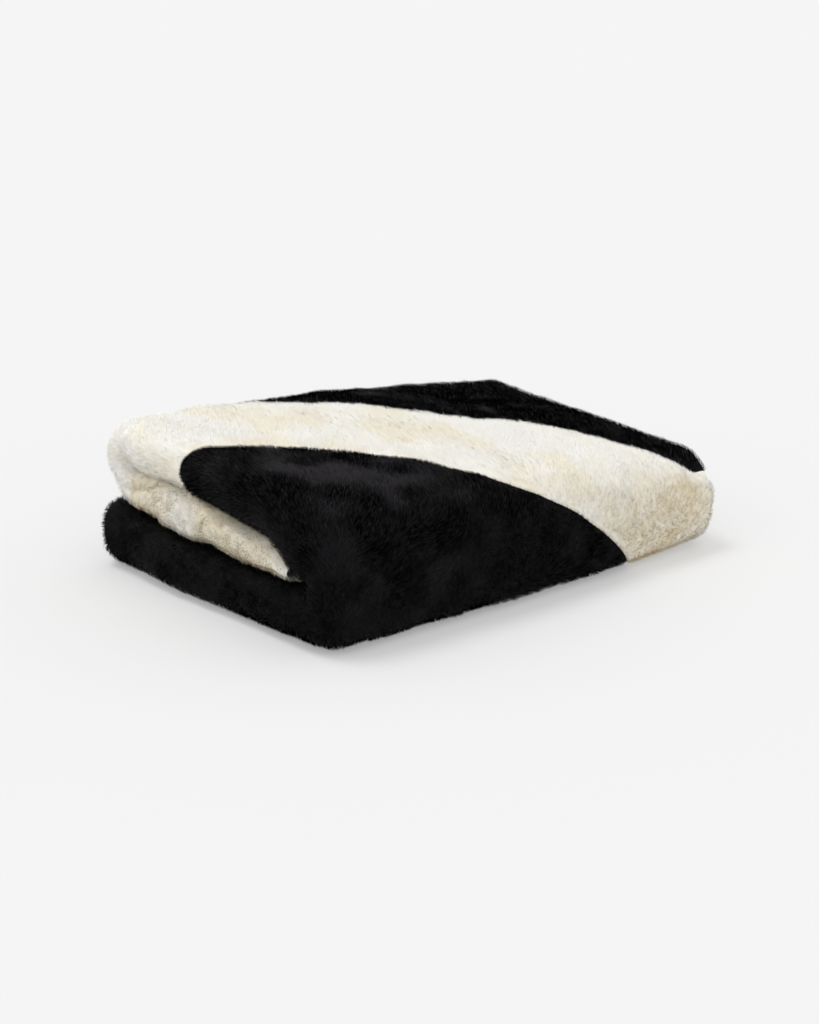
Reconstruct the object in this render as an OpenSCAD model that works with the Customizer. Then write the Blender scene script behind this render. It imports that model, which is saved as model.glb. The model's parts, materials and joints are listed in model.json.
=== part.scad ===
// Folded colour-block throw blanket
//
// A thick faux-fur throw, folded in thirds to a strip and in thirds again to a pack.
// Three levels of the strip lie on each other: the bottom level, the tucked flap and the top level.
// One big fold at the front joins bottom and top, one at the back joins the top and the tucked flap.
// Every level is a fur wrap round the inner plies of the strip, and thins from left to right.
//
// Millimetres, +Z up. The origin is on the floor under the middle of the pack, the big fold faces -Y.
// The pack opens like a book: the front fold rolls forward on the floor and the top turns over.

/* [Pack] */
// Length of the pack along X, between its rolled ends
pack_length = 510; // [380:1:700]
// Depth of the pack along Y, from the front fold to the back
pack_depth = 362; // [300:1:520]
// Height of the pack at its puffy left end
height_left = 150; // [110:1:165]
// Height of the pack at its flatter right end
height_right = 106; // [80:1:150]

/* [Fabric] */
// Thickness of the fur fabric that wraps a level
fur_wrap = 11.5; // [6:0.5:14]
// Outer radius of the front fold where it meets the floor and the top
front_radius = 52; // [51:1:60]
// Width of the turned hem along a free edge
hem_width = 8; // [5:1:15]

/* [Colour blocks] */
// Radius of the seam round the near black field
near_radius = 394; // [320:1:460]
// Middle of that seam's circle along X
near_x = -376; // [-430:1:-320]
// Middle of that seam's circle along Y
near_y = -335; // [-390:1:-280]
// Radius of the seam round the far edge of the cream stripe
far_radius = 503; // [440:1:560]
// Middle of that seam's circle along X
far_x = -252; // [-300:1:-210]
// Middle of that seam's circle along Y
far_y = -349; // [-400:1:-300]
// Where the near seam meets the floor at the front, along X
floor_seam_x = 140; // [80:1:200]
// Width of the groove in the fur along a seam
seam_groove = 3.2; // [2:0.2:6]
// Width of the joined seam allowances at the bottom of the groove
seam_width = 2.2; // [1:0.2:4]
// How far the seam lies below the face of the fur
seam_depth = 2; // [1:0.5:4]

/* [Clearances] */
// Air between two pieces of the same body
piece_gap = 0.4; // [0.2:0.1:1]
// Air between two levels, and across the line a fold turns on
body_gap = 0.8; // [0.6:0.1:2]

/* [Hidden] */
$fn = 96;
seam_facets = 360;
// How much thicker the fabric being drawn is than plain, on either face
$fuller = 0;
fuller_face = 0.3;

black_fur = [0.06, 0.06, 0.07];
cream_fur = [0.91, 0.89, 0.83];
backing = [0.2, 0.19, 0.19];
thread = [0.35, 0.33, 0.31];

// The three levels are equal wedges that would meet in one line, right of the pack.
levels = 3;
lean = atan((height_left - height_right) / pack_length);
level_lean = lean / levels;
half_wedge = level_lean / 2;
top_lean = lean - half_wedge;
meet_x = height_left / tan(lean) - pack_length / 2;
// Distances from that line to the left tip of the bottom level and to the right tip of the top level
far_tip = (meet_x + pack_length / 2) / cos(half_wedge);
near_tip = (meet_x - pack_length / 2) / cos(top_lean);

front_y = -pack_depth / 2;
back_y = pack_depth / 2;
// A level is straight between these two: the front fold starts at one, the back fold at the other.
fold_start_y = front_y + front_radius;
back_fold_y = back_y - height_left / levels;
flap_front_y = fold_start_y + body_gap;

// The front fold turns on the lines halfway round its lower and upper bends.
turn_angle = 45;
turn_gap = asin(body_gap / 2 / front_radius);

// How the seams run on over the front fold, under the pack, down the back fold and into the flap
height_front = (height_left + height_right) / 2;
turn_rise = front_radius * (1 - cos(turn_angle));
front_seam_x = near_x + sqrt(near_radius ^ 2 - (front_y + turn_rise - near_y) ^ 2);
front_seam_lean = atan((floor_seam_x - front_seam_x) / (height_front - turn_rise));
floor_seam_turn = 31;
back_seam_x = far_x + sqrt(far_radius ^ 2 - (back_fold_y - far_y) ^ 2);
flap_seam_x = -155;
back_seam_height = 2 * height_left / levels;
back_seam_lean = atan((back_seam_x - flap_seam_x) / back_seam_height);

reach = 2 * pack_length;

assert(front_radius > height_left / levels, "front_radius must be larger than a level is thick");

// ---- Outlines: X to the right, Y up from the level's outer face ----

// What is cut off to round one end of a wedge: all beyond the circle's middle but the circle
module end_trim(middle, radius, way) {
    translate([-middle, 0])
        difference() {
            translate([way > 0 ? 0 : -2 * radius, -2 * radius])
                square([2 * radius, 4 * radius]);
            circle(r = radius);
        }
}

// A level seen from the front: a wedge with round ends, drawn in by inset all round
module level_outline(inset) {
    drawn_in = inset / sin(half_wedge);
    far_end = far_tip - inset - drawn_in;
    near_end = near_tip + inset - drawn_in;
    far_middle = far_end / (1 + sin(half_wedge));
    near_middle = near_end / (1 - sin(half_wedge));
    translate([meet_x, 0])
        rotate(-half_wedge)
            translate([-drawn_in, 0])
                difference() {
                    polygon([
                        [-far_end, far_end * tan(half_wedge)],
                        [-near_end, near_end * tan(half_wedge)],
                        [-near_end, -near_end * tan(half_wedge)],
                        [-far_end, -far_end * tan(half_wedge)]
                    ]);
                    end_trim(far_middle, far_middle * sin(half_wedge), -1);
                    end_trim(near_middle, near_middle * sin(half_wedge), 1);
                }
}

module fur_outline() {
    difference() {
        level_outline(body_gap / 2 - $fuller);
        level_outline(fur_wrap + $fuller);
    }
}

module plies_outline() {
    level_outline(fur_wrap + piece_gap + fuller_face - $fuller);
}

module seam_outline() {
    difference() {
        level_outline(seam_depth - $fuller);
        level_outline(fur_wrap + $fuller);
    }
}

// ---- Ways an outline is led through the pack ----

// Turns the children about the line where the levels would meet
module leaned(angle) {
    translate([meet_x, 0, 0])
        rotate([0, angle, 0])
            translate([-meet_x, 0, 0])
                children();
}

// Takes up the gap kept round every level, so that the pack touches the floor
module on_floor() {
    translate([0, 0, -body_gap / 2])
        children();
}

// The upper half of the pack mirrors the lower half.
module mirrored_up() {
    leaned(lean / 2)
        mirror([0, 0, 1])
            leaned(-lean / 2)
                children();
}

// A straight run in one level, counted from 0 at the bottom
module run(level, y_from, y_to) {
    leaned(level * level_lean)
        translate([0, y_to, 0])
            rotate([90, 0, 0])
                linear_extrude(y_to - y_from)
                    children();
}

// Part of the lower bend of the front fold, in degrees from straight down
module lower_bend(start, end) {
    translate([0, fold_start_y, front_radius])
        rotate([180, 90, 0])
            rotate([0, 0, start])
                rotate_extrude(angle = end - start)
                    translate([front_radius, 0])
                        mirror([1, 1])
                            children();
}

module above_lower_bend() {
    translate([-reach / 2, -reach / 2, front_radius - fuller_face])
        cube([reach, reach, height_left]);
}

// The upright face of the front fold, a little fuller than the two bends it joins
module upright_face() {
    $fuller = fuller_face;
    intersection() {
        leaned(lean / 2)
            translate([0, front_y, -height_left])
                linear_extrude(2 * height_left)
                    children();
        above_lower_bend();
        mirrored_up() above_lower_bend();
    }
}

module bottom_path() {
    on_floor() {
        run(0, fold_start_y, back_y - hem_width - piece_gap) children();
        lower_bend(0, turn_angle - turn_gap) children();
    }
}

module front_path() {
    on_floor() {
        lower_bend(turn_angle + turn_gap, 90) children();
        upright_face() children();
        mirrored_up() lower_bend(turn_angle + turn_gap, 90) children();
    }
}

module top_path() {
    on_floor()
        mirrored_up() {
            run(0, fold_start_y, back_fold_y - piece_gap) children();
            lower_bend(0, turn_angle - turn_gap) children();
        }
}

// The back fold goes half round the line between the top level and the tucked flap.
module back_path() {
    on_floor()
        leaned(2 * level_lean)
            translate([0, back_fold_y, 0])
                rotate([0, -90, 0])
                    rotate_extrude(angle = 180)
                        rotate(-90)
                            children();
}

module flap_path() {
    on_floor()
        run(1, flap_front_y + hem_width + piece_gap, back_fold_y - piece_gap) children();
}

// ---- Colour blocks: grow moves the seam outwards, so the block gets larger ----

module near_block(grow) {
    leaned(top_lean)
        translate([near_x, near_y, -height_left])
            cylinder(h = 3 * height_left, r = near_radius + grow, $fn = seam_facets);
}

module far_block(grow) {
    leaned(top_lean)
        difference() {
            translate([far_x, -reach / 2, -height_left])
                cube([reach, reach, 3 * height_left]);
            translate([far_x, far_y, -height_left - 1])
                cylinder(h = 3 * height_left + 2, r = far_radius - grow, $fn = seam_facets);
        }
}

// Everything right of an upright plane through the origin, turned by the caller
module right_side(grow) {
    translate([-grow, -reach / 2, -reach / 2])
        cube([reach, reach, reach]);
}

module front_cream_block(grow) {
    translate([floor_seam_x, 0, 0])
        rotate([0, -front_seam_lean, 0])
            right_side(grow);
}

module bottom_cream_block(grow) {
    translate([floor_seam_x, fold_start_y, 0])
        rotate([0, 0, -floor_seam_turn])
            right_side(grow);
}

module back_corner_block(grow) {
    translate([flap_seam_x, 0, height_left - back_seam_height])
        rotate([0, back_seam_lean, 0])
            right_side(grow);
}

module flap_corner_block(grow) {
    translate([flap_seam_x, 0, 0])
        right_side(grow);
}

// ---- Bottom level, which lies on the floor ----

module black_field_bottom() {
    color(black_fur)
        difference() {
            bottom_path() fur_outline();
            bottom_cream_block(seam_groove / 2);
        }
}

module cream_stripe_bottom() {
    color(cream_fur)
        intersection() {
            bottom_path() fur_outline();
            bottom_cream_block(-seam_groove / 2);
        }
}

module near_seam_bottom() {
    color(thread)
        intersection() {
            bottom_path() seam_outline();
            difference() {
                bottom_cream_block(seam_width / 2);
                bottom_cream_block(-seam_width / 2);
            }
        }
}

module inner_plies_bottom() {
    color(backing)
        bottom_path() plies_outline();
}

module hem_bottom() {
    color(black_fur)
        on_floor()
            run(0, back_y - hem_width, back_y) level_outline(body_gap / 2);
}

// ---- Front fold, which joins the bottom and the top ----

module black_field_front() {
    color(black_fur)
        difference() {
            front_path() fur_outline();
            front_cream_block(seam_groove / 2);
        }
}

module cream_stripe_front() {
    color(cream_fur)
        intersection() {
            front_path() fur_outline();
            front_cream_block(-seam_groove / 2);
        }
}

module near_seam_front() {
    color(thread)
        intersection() {
            front_path() seam_outline();
            difference() {
                front_cream_block(seam_width / 2);
                front_cream_block(-seam_width / 2);
            }
        }
}

module inner_plies_front() {
    color(backing)
        front_path() plies_outline();
}

// ---- Top level ----

module black_field_top() {
    color(black_fur)
        intersection() {
            top_path() fur_outline();
            near_block(-seam_groove / 2);
        }
}

module cream_stripe_top() {
    color(cream_fur)
        difference() {
            top_path() fur_outline();
            near_block(seam_groove / 2);
            far_block(seam_groove / 2);
        }
}

module black_corner_top() {
    color(black_fur)
        intersection() {
            top_path() fur_outline();
            far_block(-seam_groove / 2);
        }
}

module near_seam_top() {
    color(thread)
        intersection() {
            top_path() seam_outline();
            difference() {
                near_block(seam_width / 2);
                near_block(-seam_width / 2);
            }
        }
}

module far_seam_top() {
    color(thread)
        intersection() {
            top_path() seam_outline();
            difference() {
                far_block(seam_width / 2);
                far_block(-seam_width / 2);
            }
        }
}

module inner_plies_top() {
    color(backing)
        top_path() plies_outline();
}

// ---- Back fold, which joins the top and the tucked flap ----

module cream_stripe_back() {
    color(cream_fur)
        difference() {
            back_path() fur_outline();
            back_corner_block(seam_groove / 2);
        }
}

module black_corner_back() {
    color(black_fur)
        intersection() {
            back_path() fur_outline();
            back_corner_block(-seam_groove / 2);
        }
}

module far_seam_back() {
    color(thread)
        intersection() {
            back_path() seam_outline();
            difference() {
                back_corner_block(seam_width / 2);
                back_corner_block(-seam_width / 2);
            }
        }
}

module inner_plies_back() {
    color(backing)
        back_path() plies_outline();
}

// ---- Tucked flap, between the bottom and the top ----

module cream_stripe_flap() {
    color(cream_fur)
        difference() {
            flap_path() fur_outline();
            flap_corner_block(seam_groove / 2);
        }
}

module black_corner_flap() {
    color(black_fur)
        intersection() {
            flap_path() fur_outline();
            flap_corner_block(-seam_groove / 2);
        }
}

module far_seam_flap() {
    color(thread)
        intersection() {
            flap_path() seam_outline();
            difference() {
                flap_corner_block(seam_width / 2);
                flap_corner_block(-seam_width / 2);
            }
        }
}

module inner_plies_flap() {
    color(backing)
        flap_path() plies_outline();
}

module hem_flap() {
    color(cream_fur)
        on_floor()
            run(1, flap_front_y, flap_front_y + hem_width) level_outline(body_gap / 2);
}

black_field_bottom();
cream_stripe_bottom();
near_seam_bottom();
inner_plies_bottom();
hem_bottom();
black_field_front();
cream_stripe_front();
near_seam_front();
inner_plies_front();
black_field_top();
cream_stripe_top();
black_corner_top();
near_seam_top();
far_seam_top();
inner_plies_top();
cream_stripe_back();
black_corner_back();
far_seam_back();
inner_plies_back();
cream_stripe_flap();
black_corner_flap();
far_seam_flap();
inner_plies_flap();
hem_flap();
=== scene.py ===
"""Folded faux-fur throw: black with one curved cream stripe, in three levels on a plain floor.

The cloth is one long wrap of fur. It runs from the free end of the bottom level, round the big front
fold, back over the top level, round the back fold and into the tucked flap. It is swept as one grid
(rows along that way, columns round a level), softened, and cut into its colour blocks at the seams.
Short bent blades of pile are scattered over it. All lengths are metres.
"""

import itertools
import json
import math

import bpy
import numpy as np
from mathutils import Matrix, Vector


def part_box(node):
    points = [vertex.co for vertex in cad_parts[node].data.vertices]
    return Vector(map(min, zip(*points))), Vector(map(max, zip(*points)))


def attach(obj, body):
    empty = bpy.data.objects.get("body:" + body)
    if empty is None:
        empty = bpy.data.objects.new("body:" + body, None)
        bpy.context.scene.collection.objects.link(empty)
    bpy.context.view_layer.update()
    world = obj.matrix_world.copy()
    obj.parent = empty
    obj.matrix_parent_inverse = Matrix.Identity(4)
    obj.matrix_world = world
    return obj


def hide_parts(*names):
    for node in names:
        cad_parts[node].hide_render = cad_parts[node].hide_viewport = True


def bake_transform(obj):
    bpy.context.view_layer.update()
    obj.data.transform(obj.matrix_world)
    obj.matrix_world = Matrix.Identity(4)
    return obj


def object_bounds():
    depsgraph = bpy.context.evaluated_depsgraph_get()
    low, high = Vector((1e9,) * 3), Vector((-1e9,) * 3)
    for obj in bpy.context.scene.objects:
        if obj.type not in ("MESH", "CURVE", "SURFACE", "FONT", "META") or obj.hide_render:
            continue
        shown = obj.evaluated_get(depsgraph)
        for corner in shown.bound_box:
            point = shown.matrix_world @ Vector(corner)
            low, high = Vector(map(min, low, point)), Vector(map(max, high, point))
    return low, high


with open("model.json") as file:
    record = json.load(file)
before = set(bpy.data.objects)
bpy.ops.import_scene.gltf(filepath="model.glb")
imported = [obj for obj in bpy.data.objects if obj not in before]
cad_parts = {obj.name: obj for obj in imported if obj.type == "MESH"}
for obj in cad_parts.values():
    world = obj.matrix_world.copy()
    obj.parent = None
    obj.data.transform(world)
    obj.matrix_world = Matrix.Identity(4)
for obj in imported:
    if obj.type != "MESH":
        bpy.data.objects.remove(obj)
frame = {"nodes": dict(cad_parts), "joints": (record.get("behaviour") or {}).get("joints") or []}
cad_box = [list(corner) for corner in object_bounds()]

MM = 0.001
TINY, SMALL = 1e-12, 1e-9  # keep a division by a length away from zero
rng = np.random.default_rng(11)

# ---- Sizes that come from the frame ----

joints = {joint["name"]: joint for joint in frame["joints"]}
lower_turn = np.array(joints["lower_bend_unrolls"]["pos_m"])
upper_turn = np.array(joints["upper_bend_unrolls"]["pos_m"])
upper_axis = joints["upper_bend_unrolls"]["axis"]

LEVELS = 3
HALF_BEND = math.pi / 4  # a bend of the front fold turns halfway round its quarter circle
left_x, right_x = cad_box[0][0], cad_box[1][0]
back_y = cad_box[1][1]
front_y = -back_y
lean = math.atan2(-upper_axis[2], upper_axis[0])  # of the top face over the floor
level_lean = lean / LEVELS
slope = math.tan(lean)
meet_x = (lower_turn[2] + upper_turn[2]) / slope  # where the top face would meet the floor
front_radius = (lower_turn[1] - front_y) / (1 - math.sin(HALF_BEND))
fold_start_y = front_y + front_radius
back_fold_y = back_y - slope * (meet_x - left_x) / LEVELS
FLAP_BACK_OFF = 8 * MM  # the visible flap stops this far short of the CAD one
flap_front_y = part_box("hem_flap")[0][1] + FLAP_BACK_OFF

# ---- The fabric ----

PILE_ROOM = 2.6 * MM  # the skin lies this far inside the CAD face, and the pile fills the rest
PLIES_ROOM = 12 * MM  # the inner plies lie this far inside the CAD face
HEM_ROOM = 9 * MM  # half the depth of a rolled hem at a free end
STEP = 3 * MM  # spacing of the grid
BACK_ROUND = 46 * MM  # mean radius of the back fold, for lengths along the cloth


# ---- Noise: smooth random values on a lattice, the same on every run ----

LATTICE = 32
KINDS = 4
APART = 17.3  # moves each kind of noise to another place in the lattice
lattice_values = rng.uniform(-1, 1, (LATTICE, LATTICE, LATTICE, KINDS))


def noise(points, size, kind=0):
    """Smooth noise from -1 to 1 at (n, 3) points, with lumps about size across."""
    place = points / size + APART * (kind + 1)
    corner = np.floor(place).astype(int)
    share = place - corner
    share = share * share * (3 - 2 * share)
    total = np.zeros(len(points))
    for step in itertools.product((0, 1), repeat=3):
        weight = np.prod(np.where(step, share, 1 - share), axis=1)
        cell = (corner + step) % LATTICE
        total += weight * lattice_values[cell[:, 0], cell[:, 1], cell[:, 2], kind % KINDS]
    return total


def layered(points, layers):
    """Sum of noises; each layer is (height, size of its lumps in mm, kind)."""
    return sum(height * noise(points, size * MM, kind) for height, size, kind in layers)


def smooth(value, start, end):
    """0 before start, 1 after end, smooth between."""
    share = np.clip((value - start) / (end - start), 0, 1)
    return share * share * (3 - 2 * share)


# ---- Outline of a level: a long wedge with round ends ----

half_wedge = level_lean / 2
far_tip = (meet_x - left_x) / math.cos(half_wedge)
near_tip = (meet_x - right_x) / math.cos(lean - half_wedge)
far_middle = far_tip / (1 + math.sin(half_wedge))
near_middle = near_tip / (1 - math.sin(half_wedge))
far_radius_full = far_middle * math.sin(half_wedge)
near_radius_full = near_middle * math.sin(half_wedge)


def outline(inset):
    """Points (x, v) round a level and outward normals; v counts from its outer face."""
    far, near = (np.array([meet_x - reach * math.cos(half_wedge), reach * math.sin(half_wedge)])
                 for reach in (far_middle, near_middle))
    far_radius, near_radius = (end[1] / math.cos(half_wedge) - inset for end in (far, near))
    flat_steps = round((near[0] - far[0]) / STEP)
    far_steps = round(math.pi * far_radius_full / STEP)
    near_steps = round(math.pi * near_radius_full / STEP)
    down, up = -math.pi / 2, math.pi / 2 - level_lean
    turns = np.concatenate([
        np.full(flat_steps, down),
        np.linspace(down, up - 2 * math.pi, far_steps, endpoint=False),
        np.full(flat_steps, up),
        np.linspace(up, down, near_steps, endpoint=False),
    ])
    along = np.concatenate([
        np.linspace(0, 1, flat_steps, endpoint=False),
        np.ones(far_steps),
        np.linspace(1, 0, flat_steps, endpoint=False),
        np.zeros(near_steps),
    ])
    normals = np.stack([np.cos(turns), np.sin(turns)], axis=1)
    middle = near + (far - near) * along[:, None]
    radius = near_radius + (far_radius - near_radius) * along
    return middle + normals * radius[:, None], normals


# ---- The way of the cloth ----

up_the_front = np.array([math.sin(lean / 2), 0, math.cos(lean / 2)])


def mirrored(points):
    """Mirrors the lower half of the pack to its upper half."""
    away = (points - (meet_x, 0, 0)) @ up_the_front
    return points - 2 * away[..., None] * up_the_front


def along_front(x, v, length):
    """The lower bend of the front fold and on up its face, length along it from the floor."""
    radius = front_radius - v
    bend = radius * math.pi / 2
    turn = np.clip(length / radius, 0, math.pi / 2)
    rise = np.maximum(length - bend, 0)
    deep = fold_start_y - radius * np.sin(turn)
    high = front_radius - radius * np.cos(turn)
    return np.stack([x, deep, high], axis=-1) + rise[..., None] * up_the_front


BODY_EDGE = 6 * MM  # the front piece starts this far beyond the line the fold turns on


def front_lengths(x, v):
    """Length along the lower bend to the front piece's edge, and to the middle of the front."""
    radius = front_radius - v
    share = BODY_EDGE / radius
    in_bend = radius * (HALF_BEND + np.arcsin(np.clip(share, 0, math.sin(HALF_BEND))))
    beyond = np.maximum(BODY_EDGE - radius * math.sin(HALF_BEND), 0) * math.sqrt(2)
    middle_rise = (meet_x - x) * math.sin(lean / 2) - front_radius * math.cos(lean / 2)
    return in_bend + beyond, radius * math.pi / 2 + middle_rise


def count(length):
    """How many steps of the grid a length takes."""
    return max(2, round(length / STEP))


FRONT_STRAIGHT = 18 * MM  # half the straight part of the front face, about
bottom_rows = count(back_y - HEM_ROOM - fold_start_y)
bend_rows = count(front_radius * HALF_BEND + BODY_EDGE)
front_rows = count(front_radius * HALF_BEND - BODY_EDGE + FRONT_STRAIGHT)
top_rows = count(back_fold_y - fold_start_y)
back_rows = count(BACK_ROUND * math.pi)
flap_rows = count(back_fold_y - flap_front_y - HEM_ROOM)

ROWS = {"bottom": bottom_rows + bend_rows, "front": 2 * front_rows, "top": bend_rows + top_rows,
        "back": back_rows, "flap": flap_rows}
PARTS = list(ROWS)
FAR_PARTS = ("top", "back", "flap")  # the far seam runs through these
part_rows, row_start = {}, 0
for part, rows in ROWS.items():
    part_rows[part] = (row_start, row_start + rows)
    row_start += rows

BOTTOM, FLAP, TOP = 0, 1, 2  # levels, counted from the floor
IN_FRONT = -1  # the front face is in none of them
END_DEPTH = 14 * MM  # the wrap draws in over this depth at a free end
END_DRAW = 0.45 * END_DEPTH
END_ROUND = 0.95  # 1 would end it in a full quarter circle


def end_closing(distance):
    """How far the wrap draws in at a free end, so that it turns over the hem."""
    share = np.clip(1 - distance / END_DEPTH, 0, 1)
    return END_DRAW * (1 - math.sqrt(1 - END_ROUND * share * share))


# The three functions below give rows of the wrap: each row is (its points, way along the cloth, level).

def straight(inset, start, end, steps, level, way_at_fold, way_turn, free_end=None):
    """Rows of a straight stretch of a level, from start to end along Y."""
    rows = []
    for step in range(steps):
        y = start + (end - start) * step / steps
        drawn_in = end_closing(abs(y - free_end)) if free_end is not None else 0
        points, _ = outline(inset + drawn_in)
        reach = meet_x - points[:, 0]
        angle = np.arctan2(points[:, 1], reach)
        radius = np.hypot(points[:, 1], reach)
        at = {BOTTOM: angle, FLAP: level_lean + angle, TOP: lean - angle}[level]
        placed = np.stack([meet_x - radius * np.cos(at), np.full(len(at), y), radius * np.sin(at)], axis=1)
        rows.append((placed, way_at_fold + way_turn * (y - fold_start_y), level))
    return rows


def front_fold(x, v, front_way):
    """Rows round the front fold: the lower bend, the front face and the upper bend."""
    edge, middle = front_lengths(x, v)
    outer_middle = front_lengths(x, 0 * v)[1]
    half = []
    for step in range(bend_rows + front_rows + 1):
        if step <= bend_rows:
            length = edge * step / bend_rows
        else:
            length = edge + (middle - edge) * (step - bend_rows) / front_rows
        half.append((along_front(x, v, length), outer_middle * length / middle))
    rows = []
    for number, (points, length) in enumerate(half[:-1]):
        rows.append((points, front_way + length, BOTTOM if number < bend_rows else IN_FRONT))
    for number, (points, length) in enumerate(half[:0:-1]):
        rows.append((mirrored(points), fold_start_y - length, IN_FRONT if number < front_rows else TOP))
    return rows


def back_fold(x, v):
    """Rows round the back fold, from the top down to the flap."""
    reach = meet_x - x
    angle = level_lean - np.arctan2(v, reach)
    radius = np.hypot(v, reach)
    out, flat_reach = radius * np.sin(angle), radius * np.cos(angle)
    tilt = 2 * level_lean
    rows = []
    for step in range(back_rows):
        turn = math.pi * step / back_rows
        up = out * math.cos(turn)
        placed = np.stack([meet_x - flat_reach * math.cos(tilt) + up * math.sin(tilt),
                           back_fold_y + out * math.sin(turn),
                           flat_reach * math.sin(tilt) + up * math.cos(tilt)], axis=1)
        rows.append((placed, back_fold_y + BACK_ROUND * turn, TOP - step / back_rows))
    return rows


def wrap(inset):
    """The whole wrap: points, cloth coordinates (x, way along the cloth) and the level of each row."""
    x, v = outline(inset)[0].T
    bottom_end, flap_end = back_y - HEM_ROOM, flap_front_y + HEM_ROOM
    front_way = fold_start_y - 2 * front_lengths(x, 0 * v)[1]
    flap_way = 2 * back_fold_y + BACK_ROUND * math.pi - fold_start_y
    rows = straight(inset, bottom_end, fold_start_y, bottom_rows, BOTTOM, front_way, -1, bottom_end)
    rows += front_fold(x, v, front_way)
    rows += straight(inset, fold_start_y, back_fold_y, top_rows, TOP, fold_start_y, 1)
    rows += back_fold(x, v)
    rows += straight(inset, back_fold_y, flap_end, flap_rows + 1, FLAP, flap_way, -1, flap_end)
    points = np.array([row[0] for row in rows])
    way = np.array([np.broadcast_to(row[1], len(x)) for row in rows])
    across = np.broadcast_to(x, points.shape[:2])
    return points, np.stack([across, way], axis=2), np.array([row[2] for row in rows], float)


# ---- Soft shape: how the real pack differs from the plain one ----

SQUARENESS = 5  # of the front fold's corners: 2 is round, more is squarer
ROUNDER = 0.4  # share of that it loses towards the right end, between these two
RIGHT_FROM, RIGHT_TO = 120 * MM, 250 * MM
BELLY = 5 * MM  # the middle of the front bulges forward by this, growing between these
BELLY_FROM, BELLY_TO = 60 * MM, 170 * MM
FULLNESS = 3  # of the levels' rolled edges at the left end: 2 is a half circle
MOST_FULLER = 2.5 * MM
NEAREST_TIP = 0.97  # share of a half circle past which it is filled no further
FULL_AFTER = 40 * MM  # length past the front fold
OPEN_TO, CLOSED_FROM = 60 * MM, 260 * MM  # from the left end: where the gaps lie open, and closed
LEFT_END = 90 * MM  # how far the loose left end reaches
FLAP_LIES_BACK = 8 * MM  # how far the flap's rolled edge lies inside the others
SAGS = [(2.6 * MM, 85), (1.3 * MM, 36)]  # lumps of the whole pack, and size in mm
LOOSE_SAG, LOOSE_SIZE = 2.0 * MM, 25 * MM  # smaller lumps of the loose end
LOOSE_OUTSIDE = 0.4  # how loose the top and the bottom are, while the flap is 1 looser
FLAT_BELOW, LUMPY_ABOVE = 4 * MM, 40 * MM  # the underside lies flat

# Height of the soft pack as a share of the plain one's: a row along its length for each depth.
HUMPS_ACROSS = np.array([-255, -190, -85, 0, 85, 170, 255]) * MM
HUMPS_DEEP = np.array([-181, -80, 10, 100, 181]) * MM
HUMPS = [[0.88, 0.89, 0.90, 0.90, 0.90, 0.89, 0.885],
         [0.95, 0.96, 0.97, 0.98, 0.975, 0.96, 0.945],
         [0.985, 1.00, 1.01, 1.03, 1.03, 1.01, 0.985],
         [1.00, 1.035, 1.05, 1.10, 1.075, 1.055, 1.03],
         [1.02, 1.07, 1.115, 1.13, 1.13, 1.17, 1.20]]

# Heights of the gaps under and over the flap where its left end lies open, as shares of the pack.
GAPS_DEEP = np.array([-181, -168, -155, -142, -131, -121, -109, -85, -35, 8, 50, 110, 165]) * MM
GAP_UNDER = [0.333, 0.335, 0.35, 0.365, 0.37, 0.37, 0.365, 0.36, 0.35, 0.36, 0.375, 0.40, 0.46]
GAP_OVER = [0.667, 0.65, 0.54, 0.42, 0.39, 0.405, 0.49, 0.60, 0.61, 0.65, 0.69, 0.70, 0.76]

# Creases of the loose end, mm: where each starts and ends, and its depth.
CREASES = [((-244, 134, 84), (-239, 98, 96), 2.6), ((-239, 97, 64), (-245, 60, 88), 1.7),
           ((-236, 30, 62), (-246, 14, 84), 1.5), ((-236, -28, 50), (-243, -36, 70), 1.5)]
CREASE_WIDTH = 4 * MM
CREASE_LIP = 0.6  # height of the soft lips beside a crease, as a share of its depth
LIP_AWAY, LIP_WIDTH = 9 * MM, 5 * MM


def eased(value, stations, heights):
    """Smooth values between stations; heights has a value, or one for each point, per station."""
    heights = np.array(heights, float).reshape(len(stations), -1) * np.ones(len(value))
    index = np.clip(np.searchsorted(stations, value) - 1, 0, len(stations) - 2)
    width = stations[index + 1] - stations[index]
    t = np.clip((value - stations[index]) / width, 0, 1)
    steep = np.gradient(heights, stations, axis=0)
    column = np.arange(len(value))
    start, end = heights[index, column], heights[index + 1, column]
    leave, arrive = steep[index, column] * width, steep[index + 1, column] * width
    return (start * (2 * t ** 3 - 3 * t ** 2 + 1) + leave * (t ** 3 - 2 * t ** 2 + t)
            + end * (3 * t ** 2 - 2 * t ** 3) + arrive * (t ** 3 - t ** 2))


def square_front(x, y, z):
    """Its own weight squares up the front fold, less so towards the right end."""
    down = np.minimum(z - front_radius, 0)
    forward = np.minimum(y - fold_start_y, 0)
    out = np.hypot(down, forward) + SMALL
    corner = np.abs(down / out) ** SQUARENESS + np.abs(forward / out) ** SQUARENESS
    push = np.where(corner > 0, np.maximum(corner, SMALL) ** (-1 / SQUARENESS) - 1, 0)
    push = push * np.clip(out / front_radius, 0, 1) ** 2
    push = push * (1 - ROUNDER * smooth(x, RIGHT_FROM, RIGHT_TO))
    belly = np.clip(1 - (x / right_x) ** 2, 0, 1)
    y = y + forward * push
    return y - BELLY * (belly * smooth(-y, BELLY_FROM, BELLY_TO)), z + down * push


def fill_left_edges(x, y, share, height, level):
    """The rolled edges at the left end are fuller than half circles, so the grooves are tight."""
    off_middle = np.clip(np.abs(2 * (LEVELS * share % 1) - 1), 0, NEAREST_TIP)
    fuller = (1 - off_middle ** FULLNESS) ** (1 / FULLNESS) / np.sqrt(1 - off_middle ** 2) - 1
    beyond = np.maximum(left_x + height / LEVELS / 2 - x, 0)
    flat_part = smooth(y, fold_start_y, fold_start_y + FULL_AFTER) * (level >= 0)
    return x - np.minimum(beyond * fuller, MOST_FULLER) * flat_part


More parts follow.
